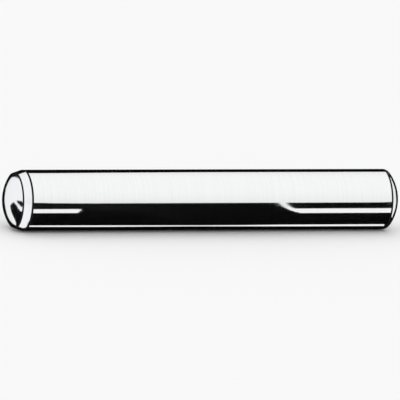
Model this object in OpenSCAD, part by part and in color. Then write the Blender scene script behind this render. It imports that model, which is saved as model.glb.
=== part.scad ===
// Parallel dowel pin of hardened steel, turned and ground from one bar.
// The pin lies along X, centred on its own middle. The end at -X carries the
// lead-in cone that starts the pin in its hole; the end at +X has a rounded
// corner only. Both end faces are crowned.

/* [Shank] */
// Diameter of the ground shank
shank_d = 8; // [5:0.5:10]
// Length over both crowns
pin_len = 55; // [20:1:120]

/* [Crowned ends] */
// Spherical radius of both end faces
crown_r = 6; // [6:0.5:20]

/* [Lead end] */
// Length of the lead-in cone, along the axis
lead_len = 1.2; // [0.6:0.1:2.4]
// Angle between the cone and the axis
lead_angle = 18; // [10:1:25]
// Radius of the two edges of the cone
lead_edge_r = 0.15; // [0.05:0.05:0.3]

/* [Round end] */
// Radius of the corner between shank and crown
round_edge_r = 0.6; // [0.1:0.1:1.2]

/* [Hidden] */

// Turn of the outline at each step round an edge, in degrees
edge_step = 6;
// How far the outline of the bar runs on past each crown before it is cut
run_out = 0.5;
$fn = 128;

shank_r = shank_d / 2;

// A direction in the half-section, as [radius, distance behind the tip].
// Angle 0 points straight out from the axis, and 90 points out of the tip.
function heading(angle) = [cos(angle), -sin(angle)];

// Points round an edge of the half-section, as its surface turns between two angles.
function edge(centre, r, from, to) =
    let (steps = max(1, ceil(abs(to - from) / edge_step)))
    [for (i = [0 : steps]) centre + r * heading(from + (to - from) * i / steps)];

// Outline of one end of the bar, from the axis back to the shank, with the tip
// of the finished crown at [0, 0]. A rounded edge leads from the crown to a cone
// of this length and angle, and a second one from the cone to the shank. With
// no cone, the first edge leads straight from the crown to the shank.
function end_outline(cone_len, cone_angle, edge_r) =
    let (
        // Sharp edge where the cone and the crown would cross
        rim_r = shank_r - cone_len * tan(cone_angle),
        rim = [rim_r, crown_r - sqrt(crown_r ^ 2 - rim_r ^ 2)],
        crown_centre = [0, crown_r],

        // The edge's own centre lies one edge radius inside both surfaces:
        // on a line along the cone, and on a circle inside the crown
        inset = rim - edge_r * heading(cone_angle),
        along = [sin(cone_angle), cos(cone_angle)],
        reach = (inset - crown_centre) * along,
        miss = (inset - crown_centre) * heading(cone_angle),
        slide = -reach - sqrt((crown_r - edge_r) ^ 2 - miss ^ 2),
        edge_centre = inset + slide * along,
        crown_angle = atan2(crown_r - edge_centre.y, edge_centre.x),
        crown_edge = edge(edge_centre, edge_r, crown_angle, cone_angle),

        // The line of the first step runs on out through the crown
        outward = crown_edge[0] - crown_edge[1],
        past_crown = crown_edge[0] + run_out * outward / norm(outward),

        // Edge between the cone and the shank
        shoulder = rim.y + cone_len,
        shoulder_centre = [shank_r - edge_r, shoulder + edge_r * tan(cone_angle / 2)],
        shank_edge = cone_len > 0 ? edge(shoulder_centre, edge_r, cone_angle, 0) : []
    )
    concat(
        [[0, -run_out], [past_crown.x, -run_out], past_crown],
        [for (i = [1 : len(crown_edge) - 1]) crown_edge[i]],
        shank_edge
    );

// Half-section of the bar, with its ends still left long.
module bar_section() {
    lead_end = end_outline(lead_len, lead_angle, lead_edge_r);
    round_end = end_outline(0, 0, round_edge_r);
    polygon(concat(
        [for (p = lead_end) [p.x, p.y - pin_len / 2]],
        [for (i = [len(round_end) - 1 : -1 : 0]) [round_end[i].x, pin_len / 2 - round_end[i].y]]
    ));
}

// Half-section of the space between the two crowns.
module between_crowns() {
    crown_offset = pin_len / 2 - crown_r;
    translate([0, -crown_offset]) {
        circle(crown_r);
        square([crown_r, 2 * crown_offset]);
    }
    translate([0, crown_offset]) circle(crown_r);
}

// The pin, turned about its axis and laid along X with the lead end at -X.
module pin()
    color("gainsboro")
    rotate([0, 90, 0])
    rotate_extrude()
    intersection() {
        bar_section();
        between_crowns();
    }

pin();
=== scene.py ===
import math

import bpy
import numpy as np
from mathutils import Matrix, Vector


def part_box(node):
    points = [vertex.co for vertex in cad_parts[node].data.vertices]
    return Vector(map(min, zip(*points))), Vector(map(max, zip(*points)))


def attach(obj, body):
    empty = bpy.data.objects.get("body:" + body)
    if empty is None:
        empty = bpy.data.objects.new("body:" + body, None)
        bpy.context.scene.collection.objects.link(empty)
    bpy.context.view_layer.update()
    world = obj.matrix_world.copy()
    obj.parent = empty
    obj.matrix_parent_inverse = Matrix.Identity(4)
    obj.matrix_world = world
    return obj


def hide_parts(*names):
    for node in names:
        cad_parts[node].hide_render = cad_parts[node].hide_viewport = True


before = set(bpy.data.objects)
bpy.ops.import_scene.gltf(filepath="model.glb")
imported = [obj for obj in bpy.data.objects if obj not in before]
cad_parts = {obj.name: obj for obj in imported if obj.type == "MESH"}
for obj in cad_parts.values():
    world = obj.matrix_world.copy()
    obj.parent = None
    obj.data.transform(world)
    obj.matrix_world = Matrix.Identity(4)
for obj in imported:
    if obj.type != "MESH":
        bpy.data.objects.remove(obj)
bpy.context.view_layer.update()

# A ground steel dowel pin. It lies along X, its lead-in cone at -X, on the floor.
# All lengths are in metres and all angles in degrees.

mm = 0.001
pinLow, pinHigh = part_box("pin")
shankRadius = (pinHigh[2] - pinLow[2]) / 2
floorHeight = pinLow[2]


# Nodes

def newMaterial(name):
    material = bpy.data.materials.new(name)
    material.use_nodes = True
    tree = material.node_tree
    tree.nodes.clear()
    return material, tree


def addNode(tree, kind, place, inputs=None, **settings):
    node = tree.nodes.new(kind)
    node.location = (place[0] * 200, place[1] * 200)
    for name, value in settings.items():
        setattr(node, name, value)
    for name, value in (inputs or {}).items():
        if isinstance(value, bpy.types.NodeSocket):
            tree.links.new(value, node.inputs[name])
        else:
            node.inputs[name].default_value = value
    return node


def maths(tree, place, operation, *values):
    node = addNode(tree, "ShaderNodeMath", place, dict(enumerate(values)), operation=operation)
    return node.outputs[0]


def mixColours(tree, place, factor, first, second):
    # The colour sockets of a Mix node: 6 and 7 go in, and 2 comes out
    node = addNode(tree, "ShaderNodeMix", place, {0: factor, 6: first, 7: second}, data_type="RGBA")
    return node.outputs[2]


# The pin's surface

pin = {
    "crownRadius": 6 * mm,
    "coneLength": 1.2 * mm,
    "coneAngle": 18,
    "coneEdge": 0.15 * mm,        # radius of both edges of the cone
    "roundEdge": 0.6 * mm,        # radius of the corner at the other end
    "stepsAround": 288,
    "crownSteps": 36,
    "edgeSteps": 14,
    "coneSteps": 6,
    "shankSteps": 72,
}


def arc(centre, radius, fromAngle, toAngle, steps):
    # centre + radius * (-cos a, sin a), with the angle a from the tip's direction
    # running evenly between two values. The last two columns are the normal.
    a = np.radians(np.linspace(fromAngle, toAngle, steps + 1))
    outward = np.stack([-np.cos(a), np.sin(a)], axis=1)
    return np.hstack([centre + radius * outward, outward])


def endOutline(coneLength, coneAngle, edgeRadius):
    # Half-section of one end, as rows of (distance behind the tip, radius, normal):
    # crown arc, edge arc, straight cone, edge arc. The centre of the first edge lies
    # one edge radius inside both the crown and the cone.
    crown = pin["crownRadius"]
    slope = math.radians(coneAngle)
    outward = np.array([-math.sin(slope), math.cos(slope)])
    along = np.array([math.cos(slope), math.sin(slope)])
    rimRadius = shankRadius - coneLength * math.tan(slope)
    rimDepth = crown - math.sqrt(crown ** 2 - rimRadius ** 2)
    crownCentre = np.array([crown, 0.0])
    inset = (rimDepth, rimRadius) - edgeRadius * outward - crownCentre
    reach = inset @ along
    slide = -reach - math.sqrt(reach ** 2 - inset @ inset + (crown - edgeRadius) ** 2)
    toEdge = inset + slide * along
    crownAngle = math.degrees(math.atan2(toEdge[1], -toEdge[0]))
    rows = [
        arc(crownCentre, crown, 0, crownAngle, pin["crownSteps"]),
        arc(crownCentre + toEdge, edgeRadius, crownAngle, 90 - coneAngle, pin["edgeSteps"])[1:],
    ]
    if coneLength > 0:
        shoulder = (rimDepth + coneLength + edgeRadius * math.tan(slope / 2), shankRadius - edgeRadius)
        shankEdge = arc(shoulder, edgeRadius, 90 - coneAngle, 90, pin["edgeSteps"])
        t = np.linspace(0, 1, pin["coneSteps"] + 1)[1:-1, None]
        rows += [rows[-1][-1] + (shankEdge[0] - rows[-1][-1]) * t, shankEdge]
    return np.concatenate(rows)


def pinOutline():
    # Lead end, shank and round end, from tip to tip, as rows of (x, radius, normal);
    # the distance travelled along them; and how far along the three edges lie
    lead = endOutline(pin["coneLength"], pin["coneAngle"], pin["coneEdge"])
    lead[:, 0] += pinLow[0]
    tail = endOutline(0, 0, pin["roundEdge"])[::-1] * (-1, 1, -1, 1)
    tail[:, 0] += pinHigh[0]
    t = np.linspace(0, 1, pin["shankSteps"] + 1)[1:-1, None]
    shank = lead[-1] + (tail[0] - lead[-1]) * t
    outline = np.concatenate([lead, shank, tail])
    travel = np.append(0, np.cumsum(np.linalg.norm(np.diff(outline[:, :2], axis=0), axis=1)))
    edges = {
        "rim": travel[pin["crownSteps"] + pin["edgeSteps"]],
        "shankStart": travel[len(lead) - 1],
        "shankEnd": travel[len(lead) + len(shank)],
    }
    return outline, travel, {name: float(place) for name, place in edges.items()}


def makePin():
    # Surface of revolution: (x(u), -r(u) cos v, r(u) sin v), u along the outline
    # and v around the axis. One point closes each tip.
    outline, travel, edges = pinOutline()
    count = pin["stepsAround"]
    v = np.linspace(0, 2 * np.pi, count, endpoint=False)
    around = np.stack([np.zeros(count), -np.cos(v), np.sin(v)], axis=1)
    along = np.array([1.0, 0.0, 0.0])

    def turn(lengthways, outward):
        rings = lengthways[1:-1, None, None] * along + outward[1:-1, None, None] * around
        return np.concatenate([[along * lengthways[0]], rings.reshape(-1, 3), [along * lengthways[-1]]])

    points = turn(outline[:, 0], outline[:, 1])
    normals = turn(outline[:, 2], outline[:, 3])
    ids = 1 + np.arange(len(points) - 2).reshape(-1, count)
    nextIds = np.roll(ids, -1, axis=1)
    quads = np.stack([ids[:-1], ids[1:], nextIds[1:], nextIds[:-1]], axis=-1).reshape(-1, 4)
    first = np.stack([np.zeros(count, int), ids[0], nextIds[0]], axis=1)
    last = np.stack([np.full(count, len(points) - 1), nextIds[-1], ids[-1]], axis=1)
    mesh = bpy.data.meshes.new("dowelPin")
    mesh.from_pydata(points, [], first.tolist() + quads.tolist() + last.tolist())
    mesh.shade_smooth()
    mesh.normals_split_custom_set_from_vertices(normals)

    # Each point keeps its distance along the outline, for the marks that follow it
    values = np.concatenate([travel[:1], np.repeat(travel[1:-1], count), travel[-1:]])
    mesh.attributes.new("travel", "FLOAT", "POINT").data.foreach_set("value", values)

    # Slot 0 is the ground shank, slot 1 the turned ends
    middle = (travel[:-1] + travel[1:]) / 2
    turned = (middle < edges["shankStart"]) | (middle > edges["shankEnd"])
    mesh.polygons.foreach_set("material_index", np.repeat(turned.astype(int), count))
    mesh.update()
    places = {name: round(place / mm, 3) for name, place in edges.items()}
    print("pin:", len(mesh.polygons), "faces; edges at", places, "mm")
    return mesh, edges


# The pin's finish

groundSteel = {
    "colour": (0.89, 0.895, 0.90),
    "grazing": 0.85,              # share of a plain metal's reflection, seen almost flat
    "roughness": 0.075,
    "markWidth": 0.09 * mm,       # one line of the grinding wheel
    "markDepth": 0.0006 * mm,
    "rubs": 0.05,                 # extra roughness in the marks of handling
}
turnedSteel = {
    "colour": (0.875, 0.88, 0.89),
    "grazing": 0.85,
    "roughness": 0.10,
    "markWidth": 0.07 * mm,       # feed of the turning tool
    "markDepth": 0.001 * mm,
    "rubs": 0.02,
}
marks = {
    # What both finishes have in common
    "fineLength": 5 * mm,         # fine marks run this far round the pin
    "broadLength": 12 * mm,
    "broadWidth": 3,              # in widths of a fine mark
    "rubLength": 0.25 * mm,       # rubs are this short round the pin
    "rubWidth": 6 * mm,           # and this long along it
    "rubRange": (0.62, 0.78),     # levels of the noise where a rub begins and is full
    "shineSpread": 0.05,          # how far the roughness varies from mark to mark
    "toneSpread": 0.08,           # and how far the colour does
}
paintedEdgeLines = {
    # Dark and matt lines painted along the three edges of the pin
    "colour": (0.012, 0.012, 0.013),
    "roughness": 0.4,
    "gloss": 0.0,
    "fade": (0.42, 0.58),         # where a line fades, in widths from its middle
    "core": 0.8,                  # how dark a line has to be to be matt
    "lines": {                    # each line's middle, past the edge along the outline, and width
        "rim": (0.09 * mm, 0.22 * mm),
        "shankStart": (0.11 * mm, 0.27 * mm),
        "shankEnd": (-0.08 * mm, 0.24 * mm),
    },
}


def steelMaterial(name, steel, edges):
    # Tool marks run round the axis: noise that is narrow along the outline and long
    # around it, from the travel attribute and Y and Z. It drives bump, roughness and
    # tone. Rubs are noise that is long along the pin. A dark line is painted along each edge.
    material, tree = newMaterial(name)
    where = addNode(tree, "ShaderNodeTexCoord", (-7, 0)).outputs["Object"]
    travel = addNode(tree, "ShaderNodeAttribute", (-7, -2), attribute_name="travel").outputs["Fac"]
    sides = addNode(tree, "ShaderNodeSeparateXYZ", (-6, 0), {"Vector": where})

    def streaks(column, row, width, length):
        coords = addNode(tree, "ShaderNodeCombineXYZ", (column, row), {
            "X": maths(tree, (column - 1, row + 0.4), "DIVIDE", travel, width),
            "Y": maths(tree, (column - 1, row), "DIVIDE", sides.outputs["Y"], length),
            "Z": maths(tree, (column - 1, row - 0.4), "DIVIDE", sides.outputs["Z"], length),
        })
        return addNode(tree, "ShaderNodeTexNoise", (column + 1, row), {
            "Vector": coords.outputs[0], "Scale": 1.0, "Detail": 2.0, "Roughness": 0.6,
        }).outputs["Fac"]

    fine = streaks(-4, 3, steel["markWidth"], marks["fineLength"])
    broad = streaks(-4, 1.5, steel["markWidth"] * marks["broadWidth"], marks["broadLength"])
    rubs = streaks(-4, 0, marks["rubWidth"], marks["rubLength"])
    bump = addNode(tree, "ShaderNodeBump", (-1, 3), {
        "Strength": 1.0, "Distance": steel["markDepth"], "Height": fine,
    })
    rubStart, rubFull = marks["rubRange"]
    rubbed = addNode(tree, "ShaderNodeMapRange", (-2, 0), {
        "Value": rubs, "From Min": rubStart, "From Max": rubFull, "To Min": 0.0, "To Max": steel["rubs"],
    }).outputs[0]
    # The noise runs from 0 to 1 and is 0.5 in the middle, so half of each spread comes off
    spread = marks["shineSpread"]
    shine = maths(tree, (-1, 1), "MULTIPLY_ADD", broad, spread, steel["roughness"] - spread / 2)
    shine = maths(tree, (0, 1), "ADD", shine, rubbed)
    spread = marks["toneSpread"]
    tone = maths(tree, (-1, 2), "MULTIPLY_ADD", broad, spread, 1 - spread / 2)
    colour = addNode(tree, "ShaderNodeVectorMath", (0, 2), {
        0: steel["colour"], "Scale": tone,
    }, operation="SCALE").outputs[0]

    line = None
    fadeStart, fadeEnd = paintedEdgeLines["fade"]
    for index, (edge, (past, width)) in enumerate(paintedEdgeLines["lines"].items()):
        row = -2 - index
        away = maths(tree, (-4, row), "SUBTRACT", travel, edges[edge] + past)
        away = maths(tree, (-3, row), "ABSOLUTE", away)
        near = addNode(tree, "ShaderNodeMapRange", (-2, row), {
            "Value": away, "From Min": width * fadeStart, "From Max": width * fadeEnd,
            "To Min": 1.0, "To Max": 0.0,
        }, interpolation_type="SMOOTHSTEP").outputs[0]
        line = near if line is None else maths(tree, (-1, row), "MAXIMUM", line, near)
    # The steel darkens first towards a painted dark line, and only its core is matt
    colour = mixColours(tree, (1, 2), line, colour, (*paintedEdgeLines["colour"], 1.0))
    core = addNode(tree, "ShaderNodeMapRange", (0, -1), {
        "Value": line, "From Min": paintedEdgeLines["core"], "From Max": 1.0, "To Min": 0.0, "To Max": 1.0,
    }).outputs[0]
    shine = maths(tree, (1, 1), "MULTIPLY_ADD", core, paintedEdgeLines["roughness"], shine)
    bare = maths(tree, (1, 0), "SUBTRACT", 1.0, core)
    surface = addNode(tree, "ShaderNodeBsdfPrincipled", (2, 2), {
        "Metallic": bare, "Base Color": colour, "Roughness": shine, "Normal": bump.outputs[0],
        "Specular IOR Level": paintedEdgeLines["gloss"], "Specular Tint": (steel["grazing"],) * 3 + (1,),
    })
    addNode(tree, "ShaderNodeOutputMaterial", (4, 2), {"Surface": surface.outputs[0]})
    print("finish:", name)
    return material


def dressPin():
    mesh, edges = makePin()
    mesh.materials.append(steelMaterial("groundSteel", groundSteel, edges))
    mesh.materials.append(steelMaterial("turnedSteel", turnedSteel, edges))
    body = bpy.data.objects.new("dowelPin", mesh)
    bpy.context.scene.collection.objects.link(body)
    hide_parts("pin")
    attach(body, "root")


dressPin()


# Floor and light

studio = {
    "floorSize": 4.0,
    "floorColour": 0.955,
    "horizon": 0.92,              # light from low all round
    "keyLight": 0.10,             # how much more comes from the key's side
    "keyAzimuth": -20,
    "keyElevation": 75,
    "keySpread": (0.1, 0.9),      # cosines from the key where its glow ends and is full
}


def directionOf(azimuth, elevation):
    # From the pin towards a place at this azimuth and elevation
    a, e = math.radians(azimuth), math.radians(elevation)
    return Vector((math.sin(a) * math.cos(e), -math.cos(a) * math.cos(e), math.sin(e)))


def makeFloor():
    half = studio["floorSize"] / 2
    mesh = bpy.data.meshes.new("floor")
    corners = [(-half, -half), (half, -half), (half, half), (-half, half)]
    mesh.from_pydata([(x, y, floorHeight) for x, y in corners], [], [(0, 1, 2, 3)])
    floor = bpy.data.objects.new("floor", mesh)
    bpy.context.scene.collection.objects.link(floor)
    material, tree = newMaterial("paleFloor")
    surface = addNode(tree, "ShaderNodeBsdfDiffuse", (0, 0), {
        "Color": (studio["floorColour"],) * 3 + (1,),
    })
    addNode(tree, "ShaderNodeOutputMaterial", (1, 0), {"Surface": surface.outputs[0]})
    mesh.materials.append(material)
    print("floor:", studio["floorSize"], "m wide")


def makeDome():
    # Even light from all round, with a wide soft glow towards the key
    world = bpy.data.worlds.new("softDome")
    bpy.context.scene.world = world
    world.use_nodes = True
    tree = world.node_tree
    tree.nodes.clear()
    look = addNode(tree, "ShaderNodeTexCoord", (-4, 0)).outputs["Generated"]
    toKey = directionOf(studio["keyAzimuth"], studio["keyElevation"])
    facing = addNode(tree, "ShaderNodeVectorMath", (-3, 0), {0: look, 1: toKey}, operation="DOT_PRODUCT")
    glowEnd, glowFull = studio["keySpread"]
    brightest = studio["horizon"] + studio["keyLight"]
    level = addNode(tree, "ShaderNodeMapRange", (-2, 0), {
        "Value": facing.outputs["Value"], "From Min": glowEnd, "From Max": glowFull,
        "To Min": studio["horizon"], "To Max": brightest,
    }, interpolation_type="SMOOTHSTEP").outputs[0]
    light = addNode(tree, "ShaderNodeBackground", (-1, 0), {"Color": (1, 1, 1, 1), "Strength": level})
    addNode(tree, "ShaderNodeOutputWorld", (0, 0), {"Surface": light.outputs[0]})
    print("dome: from", studio["horizon"], "to", round(brightest, 2))


makeFloor()
makeDome()


# Cards round the pin that only its reflections see, like the black and white cards
# that a photographer stands round polished metal. Corners are in mm from the middle
# of the pin: (x, y) on the floor, at the card's "lift" above it, or (x, y, height).

cardTones = {"dark": 0.001, "white": 1.0}

cards = {
    "board": {"tone": "white", "lift": 0.01, "corners": [
        (-130, -130), (130, -130), (130, 130), (-130, 130),
    ]},
    "leftScreen": {"tone": "white", "corners": [
        (-130, -130, 0), (-130, 300, 0), (-130, 300, 90), (-130, -130, 90),
    ]},
    # The pin lies on a dark sheet. Its reflection is the dark band along the shank,
    # and its ragged ends give the dark edges round the two crowns.
    "darkSheet": {"tone": "dark", "lift": 0.02, "corners": [
        (-25.4, -22), (-25.4, -3.9), (-25.3, -3.15), (-25.2, -2.65), (-25.15, -2.3), (-25.25, -1.95),
        (-25.4, -1.7), (-25.65, -1.6), (-25.95, -1.62), (-26.82, -1.49), (-27.0, -1.1), (-27.1, -0.65),
        (-27.25, 0), (-27.5, 0.75), (-27.8, 1.65), (-28.1, 2.4), (-28.45, 3.25), (-28.9, 4.05),
        (-29.4, 5.1), (-30.0, 6.3), (-30.5, 7.75), (-31.3, 9.4), (-32.0, 11.5), (-32.7, 14.1),
        (-33.8, 17.3), (-35.1, 21.3), (-36.9, 27), (-40, 35.5), (-44.1, 48.4), (-49.7, 69.2),
        (-57.5, 100), (150, 100), (150, 86), (115, 61.5), (82.4, 37.6), (66.4, 25.8), (57.5, 18.8),
        (51, 14), (46.4, 10.5), (42.9, 7.7), (39.9, 5.2), (37.5, 0.7), (34.8, -2.5), (31.9, -4.1),
        (29.7, -4.5), (28.4, -4.2), (27.6, -4.2), (27.4, -5.6), (28.4, -7.9), (30.0, -11.3),
        (33.4, -22),
    ]},
    # It is turned up in front to just above the pin's axis, so the band stops there
    "frontLeft": {"tone": "dark", "corners": [
        (-25.4, -22, 0), (17.0, -22, 0), (16.3, -22, 4.5), (-9, -22, 4.5), (-12, -22, 4.6),
        (-15.5, -22, 4.9), (-17.2, -22, 5.3), (-18.5, -22, 5.5), (-25.4, -22, 5.5),
    ]},
    "frontRight": {"tone": "dark", "corners": [
        (18.0, -22, 0), (33.4, -22, 0), (33.4, -22, 5.0), (32.2, -22, 4.95), (31.2, -22, 4.5),
        (17.4, -22, 4.5),
    ]},
    # Dark walls behind and beyond its right end give the dark outline along the top
    # and round both ends
    "wall": {"tone": "dark", "corners": [
        (-56.5, 100, 0), (150, 100, 0), (150, 100, 110), (75, 100, 88), (48, 100, 88), (36, 100, 93),
        (28, 100, 102), (20, 100, 102), (0, 100, 90), (-30, 100, 90), (-60, 100, 160),
        (-190, 100, 172), (-180, 100, 110), (-159, 100, 97), (-127, 100, 77.5), (-111, 100, 67.5),
        (-98, 100, 56.5), (-84.5, 100, 46.5), (-75.5, 100, 38.5), (-67.5, 100, 32), (-61, 100, 27),
        (-58, 100, 23.5), (-56, 100, 20), (-54.5, 100, 14.5), (-55.5, 100, 11), (-56, 100, 7.3),
    ]},
    "rightWall": {"tone": "dark", "corners": [
        (150, 100, 0), (150, 80, 6), (150, 49.4, 25), (150, 32.5, 46), (150, 28, 63.5),
        (150, 19, 102), (150, 21.6, 147), (150, 45, 150), (150, 100, 110),
    ]},
    # A dark flag beside the round end gives the dark wedge at its top
    "flag": {"tone": "dark", "corners": [
        (34, 12, 0), (49, 12, 0), (55.5, 12, 52), (46, 12, 52), (34.8, 12, 20.4),
    ]},
    # White strips on the sheet: the two light streaks and the thin line under the band
    "leftStreak": {"tone": "white", "lift": 0.03, "corners": [
        (-21.6, -13.2), (-14.7, -13.2), (-15.2, -11.4), (-15.8, -10.0), (-16.3, -8.9),
        (-16.8, -8.0), (-23.1, -8.0),
    ]},
    "rightStreak": {"tone": "white", "lift": 0.03, "corners": [
        (17.05, -21.9), (15.45, -17.3), (14.1, -11.8), (13.85, -10.2), (13.95, -8.3), (14.5, -7.3),
        (27.8, -7.3), (29.9, -12.6), (15.4, -12.6), (16.0, -15.5), (18.0, -21.9),
    ]},
    "thinLine": {"tone": "white", "lift": 0.03, "corners": [
        (-25.0, -2.5), (-24.3, -2.72), (-14.6, -2.67), (-7.6, -2.61), (-0.5, -2.56), (6.5, -2.58),
        (11.0, -2.65), (25.6, -2.66), (25.6, -2.13), (13.7, -2.15), (-0.5, -2.27), (-14.5, -2.25),
        (-24.3, -2.34),
    ]},
    # The same for the side away from the camera
    "backThinLine": {"tone": "white", "lift": 0.03, "corners": [
        (-24.8, 2.08), (25.6, 2.08), (25.6, 2.72), (-24.8, 2.72),
    ]},
    "backLeftStreak": {"tone": "white", "lift": 0.03, "corners": [
        (-22.5, 7.3), (-14.4, 7.3), (-13.7, 10.4), (-15.6, 13.3), (-22.5, 13.3),
    ]},
    "backRightStreak": {"tone": "white", "lift": 0.03, "corners": [
        (16.8, 8.0), (26.0, 8.0), (26.0, 13.2), (15.1, 13.3), (15.6, 10.0),
    ]},
    # The two dark wedges on the crown with the cone
    "wideWedge": {"tone": "dark", "lift": 0.02, "corners": [
        (-52.5, 9.6), (-41.0, 7.75), (-37.2, 6.45), (-35.5, 5.2), (-32.9, 3.1), (-31.4, 1.8),
        (-30.3, 0.8), (-29.3, -0.05), (-28.4, -0.65), (-27.7, -0.95), (-26.8, -1.0), (-26.0, -1.5),
        (-26.0, -2.1), (-26.1, -2.4), (-26.15, -2.75), (-26.2, -3.1), (-26.45, -4.0), (-27.1, -5.1),
        (-28.5, -6.8), (-29.5, -7.9), (-31.5, -7.4), (-33.3, -5.8), (-33.6, -3.8), (-33.85, -3.1),
        (-35.4, -2.4), (-38.2, -1.05), (-43.2, 1.05), (-49.0, 5.4),
    ]},
    "smallWedge": {"tone": "dark", "corners": [
        (-38, 0.1, 3.95), (-38, -1.05, 4.05), (-38, -2.6, 4.2), (-38, -4.1, 4.4), (-38, -5.9, 4.65),
        (-38, -28, 5.2), (-38, -28, 0.6), (-38, -5.5, 0.7), (-38, -4.4, 0.8), (-38, -3.4, 1.25),
        (-38, -2.25, 1.95), (-38, -1.1, 2.6), (-38, -0.3, 3.05),
    ]},
}


def cardMaterial(name, tone):
    material, tree = newMaterial(name)
    surface = addNode(tree, "ShaderNodeEmission", (0, 0), {
        "Color": (tone, tone, tone, 1), "Strength": 1.0,
    })
    addNode(tree, "ShaderNodeOutputMaterial", (1, 0), {"Surface": surface.outputs[0]})
    return material


def makeCards():
    materials = {name: cardMaterial(name + "Card", tone) for name, tone in cardTones.items()}
    for name, card in cards.items():
        corners = [corner if len(corner) == 3 else (*corner, card["lift"]) for corner in card["corners"]]
        mesh = bpy.data.meshes.new(name)
        mesh.from_pydata(np.array(corners) * mm + (0, 0, floorHeight), [], [range(len(corners))])
        mesh.materials.append(materials[card["tone"]])
        piece = bpy.data.objects.new(name, mesh)
        bpy.context.scene.collection.objects.link(piece)
        piece.visible_camera = False
        piece.visible_diffuse = False
        piece.visible_shadow = False
        piece.visible_transmission = False
        piece.visible_volume_scatter = False
    print("cards:", ", ".join(cards))


makeCards()


# Camera

camera = {
    "azimuth": -21,
    "elevation": 12,
    "distance": 1.4,
    "frameWidth": 52.8 * mm,      # seen at the pin
    "axisTilt": 0.2,              # the pin's axis rises this much to the right
    "aimAcross": -0.14 * mm,      # from the pin's middle
    "aimUp": -0.05 * mm,
}


def makeCamera():
    # Far off with a long lens, so that both ends come out nearly the same size
    lens = bpy.data.cameras.new("camera")
    eye = bpy.data.objects.new("camera", lens)
    bpy.context.scene.collection.objects.link(eye)
    back = directionOf(camera["azimuth"], camera["elevation"])
    level = Vector((0, 0, 1)).cross(back).normalized()
    upright = back.cross(level)
    roll = math.atan2(upright.x, level.x) - math.radians(camera["axisTilt"])
    right = level * math.cos(roll) + upright * math.sin(roll)
    up = upright * math.cos(roll) - level * math.sin(roll)
    place = right * camera["aimAcross"] + up * camera["aimUp"] + back * camera["distance"]
    eye.matrix_world = Matrix.Translation(place) @ Matrix((right, up, back)).transposed().to_4x4()
    lens.sensor_width = 36
    lens.lens = lens.sensor_width * camera["distance"] / camera["frameWidth"]
    lens.clip_start, lens.clip_end = 0.01, 10
    bpy.context.scene.camera = eye
    print("camera:", round(lens.lens), "mm lens at", camera["distance"], "m")


makeCamera()
bpy.context.scene.view_settings.view_transform = "Standard"
